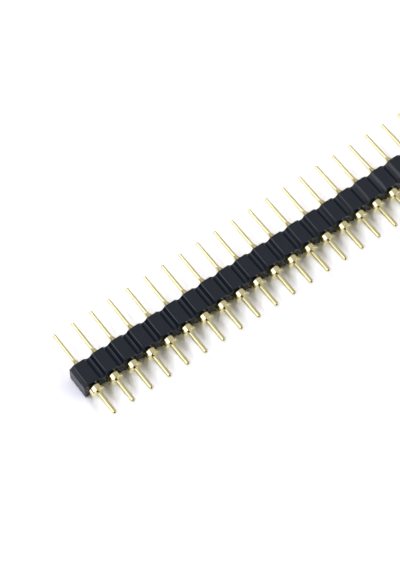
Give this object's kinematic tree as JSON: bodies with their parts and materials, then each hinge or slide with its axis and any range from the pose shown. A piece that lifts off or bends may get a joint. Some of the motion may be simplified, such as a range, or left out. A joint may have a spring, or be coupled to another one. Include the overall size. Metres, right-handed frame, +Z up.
{
  "type": "pin header strip",
  "caption": "Break-off header strip: turned gold-plated round pins with collars, in one row, pressed into a notched black moulded insulator.",
  "frame": {"origin": "on the bench, under the middle of the strip's overall box", "axes": "+X along the row, from pin_01 to pin_40; +Y towards the solder tails, -Y towards the collars and contacts; +Z up, with the strip lying flat"},
  "size_m": [0.1016, 0.0122, 0.0025],
  "materials": {
    "moulding": "moulded blue-black plastic, satin gloss",
    "plated_pin": "turned, polished, pale gold plating"
  },
  "bodies": {
    "root": {"insulator": "moulding", "pin_01": "plated_pin", "pin_02": "plated_pin", "pin_03": "plated_pin", "pin_04": "plated_pin", "pin_05": "plated_pin", "pin_06": "plated_pin", "pin_07": "plated_pin", "pin_08": "plated_pin", "pin_09": "plated_pin", "pin_10": "plated_pin", "pin_11": "plated_pin", "pin_12": "plated_pin", "pin_13": "plated_pin", "pin_14": "plated_pin", "pin_15": "plated_pin", "pin_16": "plated_pin", "pin_17": "plated_pin", "pin_18": "plated_pin", "pin_19": "plated_pin", "pin_20": "plated_pin", "pin_21": "plated_pin", "pin_22": "plated_pin", "pin_23": "plated_pin", "pin_24": "plated_pin", "pin_25": "plated_pin", "pin_26": "plated_pin", "pin_27": "plated_pin", "pin_28": "plated_pin", "pin_29": "plated_pin", "pin_30": "plated_pin", "pin_31": "plated_pin", "pin_32": "plated_pin", "pin_33": "plated_pin", "pin_34": "plated_pin", "pin_35": "plated_pin", "pin_36": "plated_pin", "pin_37": "plated_pin", "pin_38": "plated_pin", "pin_39": "plated_pin", "pin_40": "plated_pin"}
  },
  "joints": []
}
